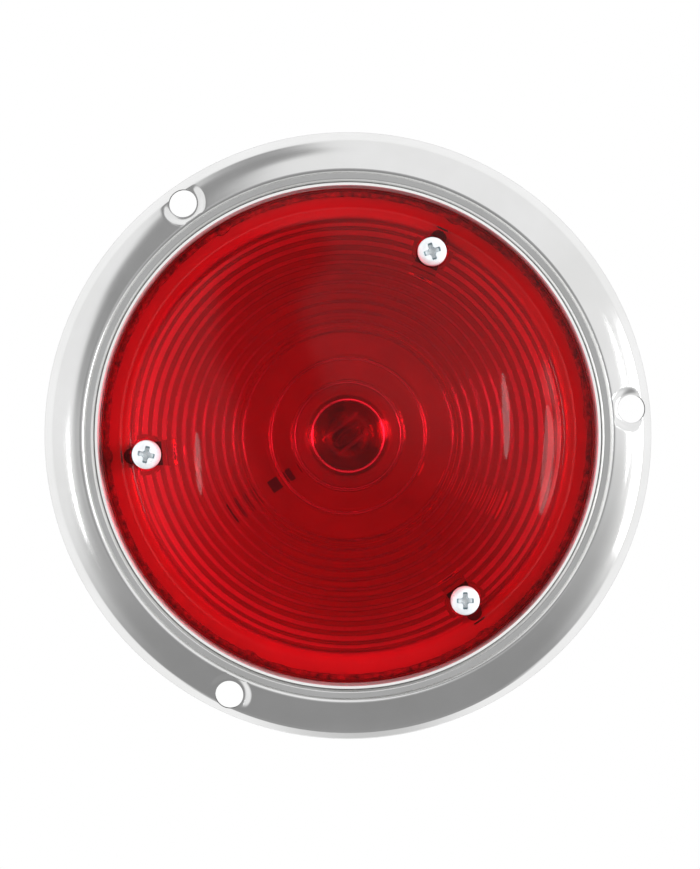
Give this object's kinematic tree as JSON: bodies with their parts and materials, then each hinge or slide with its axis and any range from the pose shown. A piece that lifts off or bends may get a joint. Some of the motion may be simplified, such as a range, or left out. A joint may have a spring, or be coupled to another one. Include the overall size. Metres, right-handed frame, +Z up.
{
  "type": "trailer tail light",
  "caption": "Round flush-mount tail light: polished flange and deep steel cup, domed red ribbed lens held by screws, twin-filament bulb in a sprung bayonet socket.",
  "frame": {"origin": "centre of the panel plane, which the mounting gasket lies against", "axes": "+Y runs from the front of the lamp back through the panel, the lens faces -Y, +Z up; one mounting hole lies on +X"},
  "size_m": [0.1396, 0.0813, 0.1396],
  "materials": {
    "mounting_gasket": "fine closed-cell foam rubber, matte",
    "polished_steel": "polished stainless steel with fine turning lines",
    "plated_steel": "bright plated steel sheet, satin",
    "dark_steel": "dark phosphated steel, dull",
    "socket_steel": "bright plated steel tube",
    "zinc_plate": "bright zinc plate with a faint blue tint",
    "red_lens": "clear red moulded plastic with ring-shaped prisms",
    "black_rubber": "black rubber, matte",
    "grey_rubber": "dark grey foam rubber cord, rough",
    "phenolic": "brown paper-filled insulating board",
    "brass": "bright brass",
    "bulb_brass": "bright nickel-brass bulb base",
    "spring_steel": "drawn spring wire",
    "bulb_glass": "clear thin glass",
    "tungsten": "dark drawn wire",
    "black_glass": "black moulded glass insulator",
    "solder": "dull solder"
  },
  "bodies": {
    "housing": {"mounting_gasket": "mounting_gasket", "flange_ring": "polished_steel", "housing_cup": "plated_steel", "lens_gasket": "grey_rubber", "screw_tab_1": "dark_steel", "screw_tab_2": "dark_steel", "screw_tab_3": "dark_steel", "socket_shell": "socket_steel", "contact_spring": "spring_steel", "rear_insulator": "phenolic", "wire_grommet": "black_rubber", "ground_rivet": "plated_steel", "ground_terminal": "brass"},
    "lens": {"lens": "red_lens"},
    "contact_plate": {"contact_disc": "phenolic", "contact_rivet_1": "brass", "contact_rivet_2": "brass"},
    "bulb": {"bulb_glass": "bulb_glass", "bulb_base": "bulb_brass", "bulb_stem": "bulb_glass", "stop_filament": "tungsten", "tail_filament": "tungsten", "bulb_insulator": "black_glass", "bulb_contact_1": "solder", "bulb_contact_2": "solder"},
    "screw_seat_1": {"screw_washer_1": "black_rubber"},
    "screw_1": {"lens_screw_1": "zinc_plate"},
    "screw_seat_2": {"screw_washer_2": "black_rubber"},
    "screw_2": {"lens_screw_2": "zinc_plate"},
    "screw_seat_3": {"screw_washer_3": "black_rubber"},
    "screw_3": {"lens_screw_3": "zinc_plate"}
  },
  "joints": [
    {"name": "lens_lift", "type": "slide", "parent": "housing", "child": "lens", "axis": [0, -1, 0], "range_m": [0, 0.06]},
    {"name": "bulb_push", "type": "slide", "parent": "housing", "child": "contact_plate", "axis": [0, 1, 0], "range_m": [0, 0.0025], "stiffness_N_per_m": 4000, "springref_m": -0.002, "deforming": ["contact_spring"]},
    {"name": "bulb_turn", "type": "hinge", "parent": "contact_plate", "child": "bulb", "pos_m": [0, 0, 0], "axis": [0, -1, 0], "range_deg": [0, 18]},
    {"name": "screw_1_out", "type": "slide", "parent": "lens", "child": "screw_seat_1", "axis": [0, -1, 0], "range_m": [0, 0.012]},
    {"name": "screw_1_turn", "type": "hinge", "parent": "screw_seat_1", "child": "screw_1", "pos_m": [0.023, -0.0086, 0.03984], "axis": [0, -1, 0], "continuous": true},
    {"name": "screw_2_out", "type": "slide", "parent": "lens", "child": "screw_seat_2", "axis": [0, -1, 0], "range_m": [0, 0.012]},
    {"name": "screw_2_turn", "type": "hinge", "parent": "screw_seat_2", "child": "screw_2", "pos_m": [-0.046, -0.0086, 0], "axis": [0, -1, 0], "continuous": true},
    {"name": "screw_3_out", "type": "slide", "parent": "lens", "child": "screw_seat_3", "axis": [0, -1, 0], "range_m": [0, 0.012]},
    {"name": "screw_3_turn", "type": "hinge", "parent": "screw_seat_3", "child": "screw_3", "pos_m": [0.023, -0.0086, -0.03984], "axis": [0, -1, 0], "continuous": true}
  ]
}
